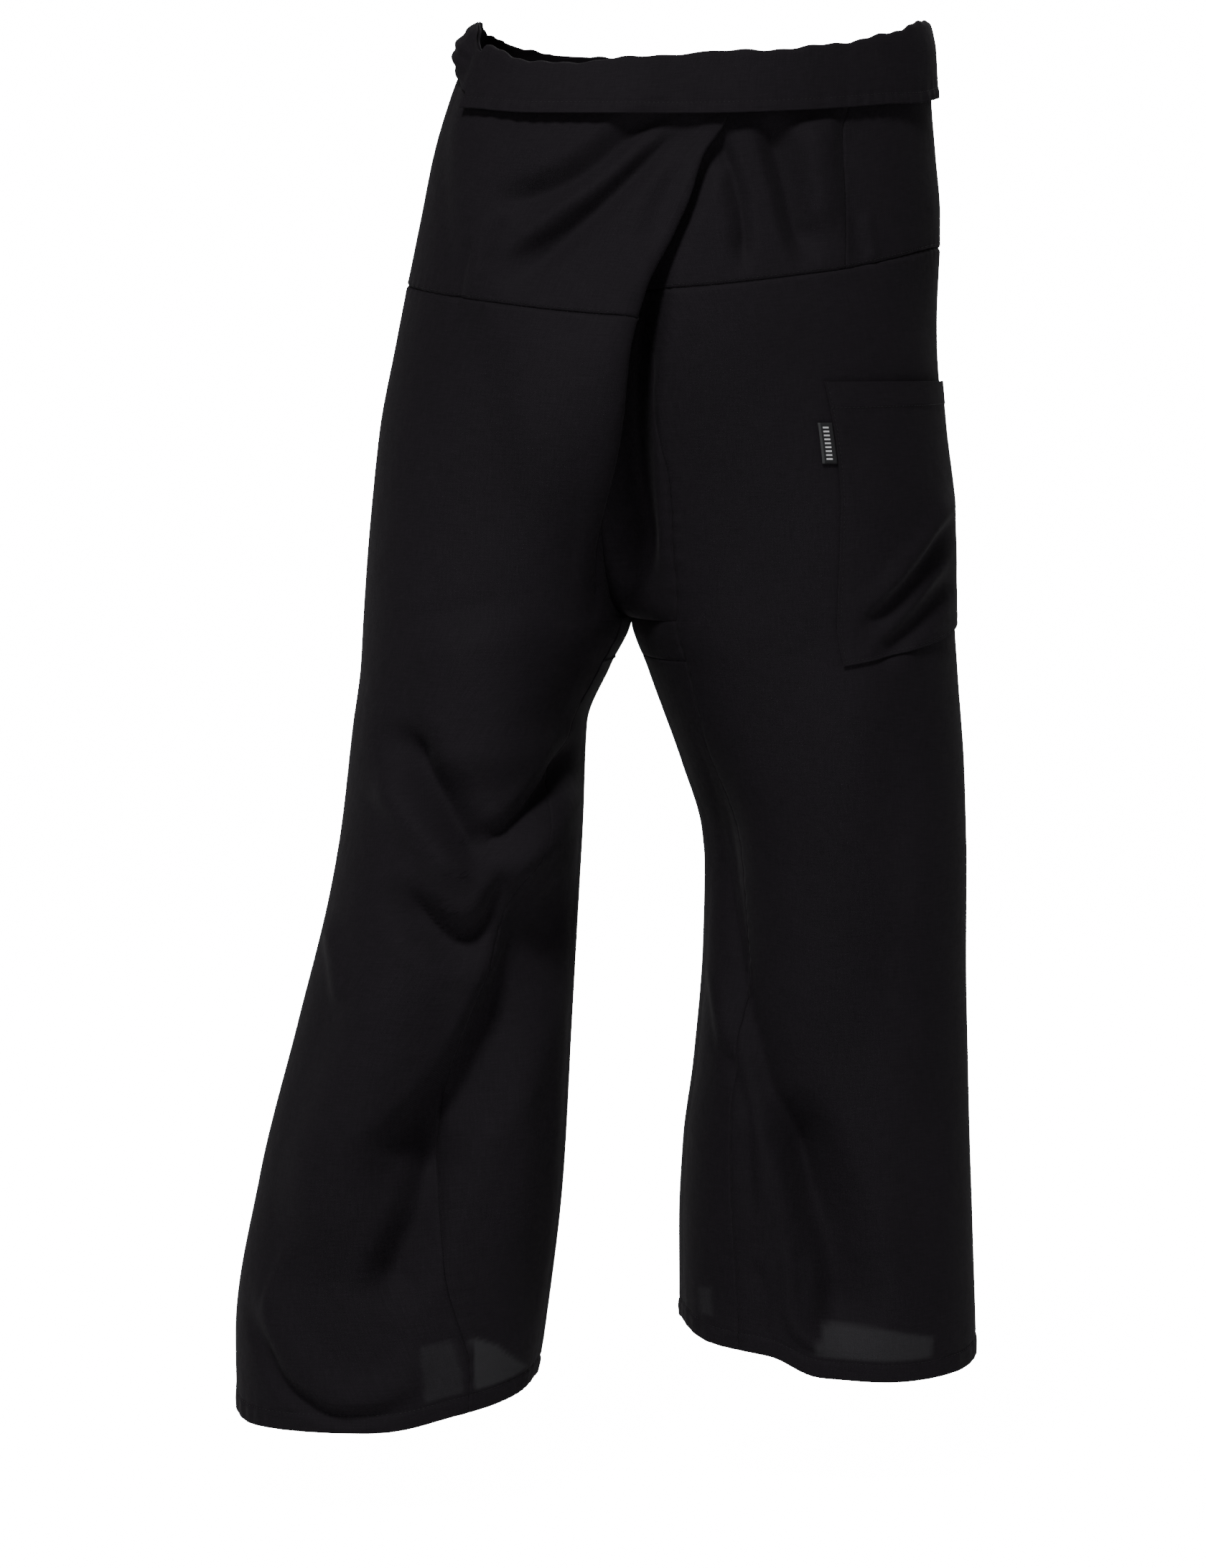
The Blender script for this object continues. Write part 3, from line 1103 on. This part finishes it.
def sew_everything():
    """Stitches beside the yoke seam and along the hems, the turned-down top and the pocket."""
    along = np.linspace(0, 1, 900)
    proud = WALL / 2 + THREAD * 0.15
    yoke_rows, hem_rows = [], []
    for side in ("right", "left"):
        u = along if side == "left" else np.linspace(HAIRPIN_END, 1, 700)
        angle, _ = wrapped(side, u, 0 * u)
        top, seam = cut_edge_z(side, angle), YOKE_SEAM_LINE[side](u)
        level = (seam + YOKE_STITCHES_ABOVE - top) / (seam - top)
        yoke_rows.append(cloth(side, u, level, proud))
        level = level_at(side, along, HEM_LINE[side](along) + LEG_HEM - STITCH_LINE)
        hem_rows.append(cloth(side, along, level, proud))
    u = np.linspace(0, TURNED_END, 900)
    angle, _ = wrapped("left", u, 0 * u)
    foot = cut_edge_z("left", angle)
    share = 1 - TURNED_HEM / (foot - TURNED_HEM_LINE(angle))
    turned = turned_point(u, 180, share)
    _, outward = trunk_point(angle, 0 * u, foot)
    steps = np.linspace(0, 1, 300)
    side_inset, foot_inset = 0.013, 0.012
    pocket_rows = [
        on_pocket(steps, side_inset + 0 * steps, LAYER + proud),
        on_pocket(steps, 1 - side_inset + 0 * steps, LAYER + proud),
        on_pocket(1 - foot_inset + 0 * steps, steps, LAYER + proud),
        on_pocket(POCKET_HEM / POCKET_DEPTH + 0 * steps, steps, LAYER + proud),
    ]
    sew("yoke_stitches", yoke_rows)
    sew("hem_stitches", hem_rows)
    sew("turned_top_stitches", [turned + outward * proud])
    sew("pocket_stitches", pocket_rows)


yoke = make_yoke()
outer_legs = {side: make_outer_leg(side) for side in ("right", "left")}
inner_legs = {side: make_inner_leg(side) for side in ("right", "left")}
crotch_panel = make_crotch_panel()
ties = {side: make_tie(side) for side in ("right", "left")}
pocket = make_pocket()
label = make_label()
sew_everything()


# Floor, light and camera

FLOOR_Z = -1.0
FLOOR_NEAR, FLOOR_FAR, FLOOR_SIDE = -7.0, 6.0, 9.0
WALL_BEND, WALL_RISE = 1.5, 6.0
BACKDROP_GLOW = 16.0
PHOTO_HEIGHT_PX, PX_PER_METRE, LENS_TRIM = 2184, 1966.3, 1.006
CAMERA_DISTANCE, SENSOR = 4.5, 36
CAMERA_X, CAMERA_Z, AIM_Z = -0.067, -0.21, -0.5130
LIGHTS_AIM = (-0.06, 0, -0.45)


def make_backdrop():
    """A pale floor that turns up into a pale wall."""
    bm = bmesh.new()
    corner = bm.verts.new((-FLOOR_SIDE, FLOOR_NEAR, FLOOR_Z))
    other = bm.verts.new((FLOOR_SIDE, FLOOR_NEAR, FLOOR_Z))
    edge = bm.edges.new((corner, other))
    made = bmesh.ops.extrude_edge_only(bm, edges=[edge])
    line = [v for v in made["geom"] if isinstance(v, bmesh.types.BMVert)]
    bmesh.ops.translate(bm, verts=line, vec=(0, FLOOR_FAR - FLOOR_NEAR, 0))
    rim = [e for e in made["geom"] if isinstance(e, bmesh.types.BMEdge)]
    centre = (0, FLOOR_FAR, FLOOR_Z + WALL_BEND)
    bmesh.ops.spin(bm, geom=line + rim, cent=centre, axis=(1, 0, 0), angle=math.radians(90), steps=24)
    top = [v for v in bm.verts if v.co.z > centre[2] - 0.001]
    rim = [e for e in bm.edges if all(v in top for v in e.verts)]
    made = bmesh.ops.extrude_edge_only(bm, edges=rim)
    line = [v for v in made["geom"] if isinstance(v, bmesh.types.BMVert)]
    bmesh.ops.translate(bm, verts=line, vec=(0, 0, WALL_RISE))
    mesh = bpy.data.meshes.new("backdrop")
    bm.to_mesh(mesh)
    bm.free()
    mesh.shade_smooth()
    backdrop = bpy.data.objects.new("backdrop", mesh)
    bpy.context.scene.collection.objects.link(backdrop)
    paper = bpy.data.materials.new("backdrop_paper")
    paper.use_nodes = True
    tree = paper.node_tree
    shader = tree.nodes["Principled BSDF"]
    shader.inputs["Base Color"].default_value = (0.92, 0.92, 0.92, 1)
    shader.inputs["Roughness"].default_value = 0.9
    shader.inputs["Emission Color"].default_value = (1, 1, 1, 1)
    seen = new_node(tree, "ShaderNodeLightPath")
    glow = maths(tree, "MULTIPLY", seen.outputs["Is Camera Ray"], BACKDROP_GLOW)
    tree.links.new(glow, shader.inputs["Emission Strength"])
    mesh.materials.append(paper)


def add_softbox(name, place, size, power):
    """A soft light turned towards the middle of the trousers."""
    lamp = bpy.data.lights.new(name, "AREA")
    lamp.shape = "RECTANGLE"
    lamp.size, lamp.size_y = size
    lamp.energy = power
    box = bpy.data.objects.new(name, lamp)
    box.location = place
    towards = Vector(LIGHTS_AIM) - Vector(place)
    box.rotation_euler = towards.to_track_quat("-Z", "Y").to_euler()
    bpy.context.scene.collection.objects.link(box)


make_backdrop()
world = bpy.data.worlds.new("studio")
bpy.context.scene.world = world
world.use_nodes = True
world.node_tree.nodes["Background"].inputs["Color"].default_value = (1, 1, 1, 1)
world.node_tree.nodes["Background"].inputs["Strength"].default_value = 0.08
add_softbox("key_softbox", (-1.1, -3.5, 4.3), (1.0, 1.0), 262)
add_softbox("fill_softbox", (0.2, -4.4, -0.4), (1.4, 2.0), 8)
add_softbox("back_softbox", (0.8, 3.0, 1.6), (1.8, 1.8), 35)

camera = bpy.data.objects.new("camera", bpy.data.cameras.new("camera"))
camera.data.sensor_width = SENSOR
camera.data.sensor_height = SENSOR
camera.data.sensor_fit = "VERTICAL"
camera.data.lens = LENS_TRIM * PX_PER_METRE * CAMERA_DISTANCE / PHOTO_HEIGHT_PX * SENSOR
camera.location = (CAMERA_X, -CAMERA_DISTANCE, CAMERA_Z)
aim = Vector((CAMERA_X, 0, AIM_Z)) - camera.location
camera.rotation_euler = aim.to_track_quat("-Z", "Y").to_euler()
bpy.context.scene.collection.objects.link(camera)
bpy.context.scene.camera = camera
